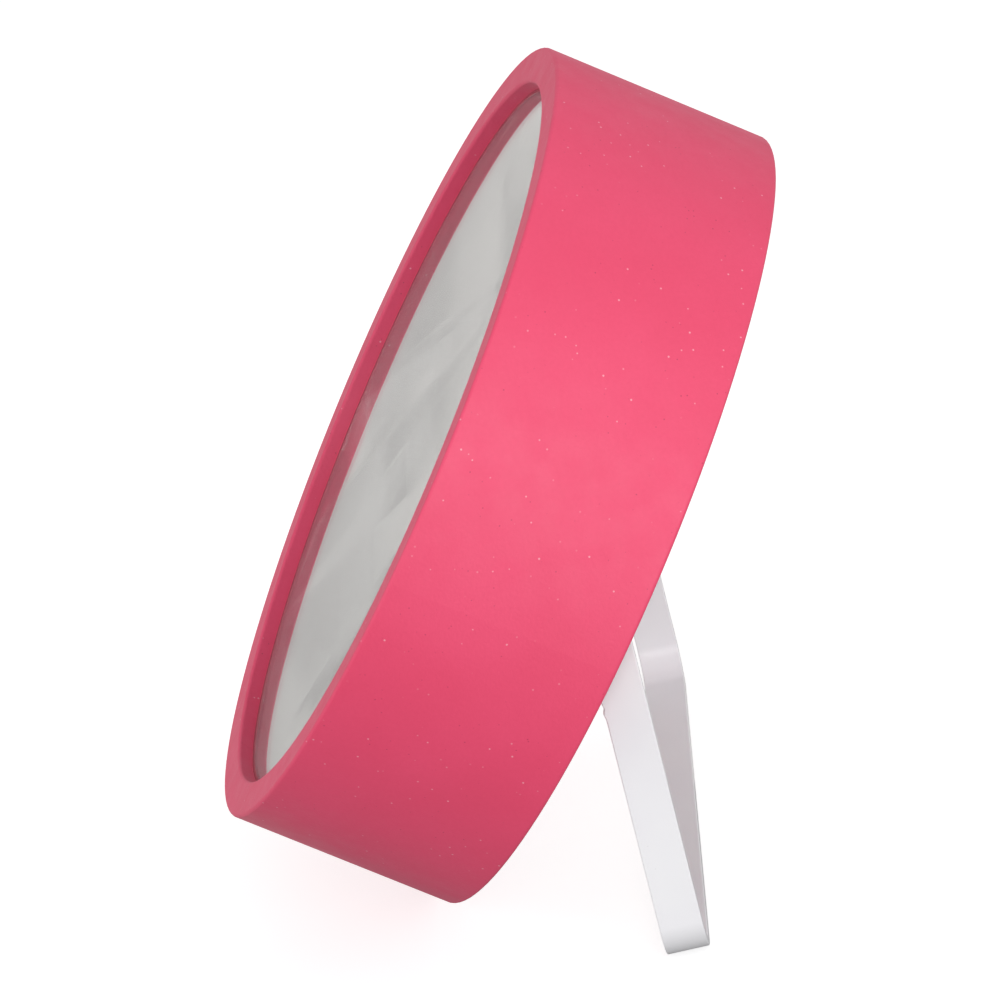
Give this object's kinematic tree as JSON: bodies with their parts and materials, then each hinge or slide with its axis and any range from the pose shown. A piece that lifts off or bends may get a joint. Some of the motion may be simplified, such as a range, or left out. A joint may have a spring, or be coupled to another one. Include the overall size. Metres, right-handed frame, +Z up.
{
  "type": "round table mirror",
  "caption": "Deep round drum mirror with a recessed glass and a wide folding U-shaped strip stand at the back.",
  "frame": {"origin": "centre of the bounding box's base, on the floor the mirror stands on", "axes": "+Z up, -Y towards the person looking in, +X across the mirror and along the stand's pivot line"},
  "size_m": [0.2, 0.1648, 0.194],
  "materials": {
    "pink_shell": "matte soft-touch",
    "glass": "polished",
    "mirror": "mirror",
    "foam": "matt foam",
    "white_plastic": "satin moulded",
    "white_panel": "fine textured",
    "screw_steel": "zinc plated",
    "pin_steel": "satin",
    "nylon": "natural nylon",
    "rubber": "matt",
    "white_paint": "semi-gloss"
  },
  "bodies": {
    "drum": {"rim_shell": "pink_shell", "mirror_glass": "glass", "silver_coat": "mirror", "foam_ring": "foam", "carrier_tray": "white_plastic", "back_panel": "white_panel", "panel_screw_1": "screw_steel", "panel_screw_2": "screw_steel", "panel_screw_3": "screw_steel", "panel_screw_4": "screw_steel", "hinge_block_left": "white_plastic", "hinge_block_right": "white_plastic", "block_screw_left_a": "screw_steel", "block_screw_left_b": "screw_steel", "block_screw_right_a": "screw_steel", "block_screw_right_b": "screw_steel", "hinge_pin_left": "pin_steel", "hinge_pin_right": "pin_steel", "pin_clip_left": "pin_steel", "pin_clip_right": "pin_steel", "inner_washer_left": "nylon", "inner_washer_right": "nylon", "outer_washer_left": "nylon", "outer_washer_right": "nylon", "stop_pad_left": "rubber", "stop_pad_right": "rubber"},
    "stand": {"stand_bail": "white_paint", "bush_left": "nylon", "bush_right": "nylon"}
  },
  "joints": [
    {"name": "stand_fold", "type": "hinge", "parent": "drum", "child": "stand", "pos_m": [0, 0.00717, 0.07514], "axis": [-1, 0, 0], "range_deg": [0, 37]}
  ]
}
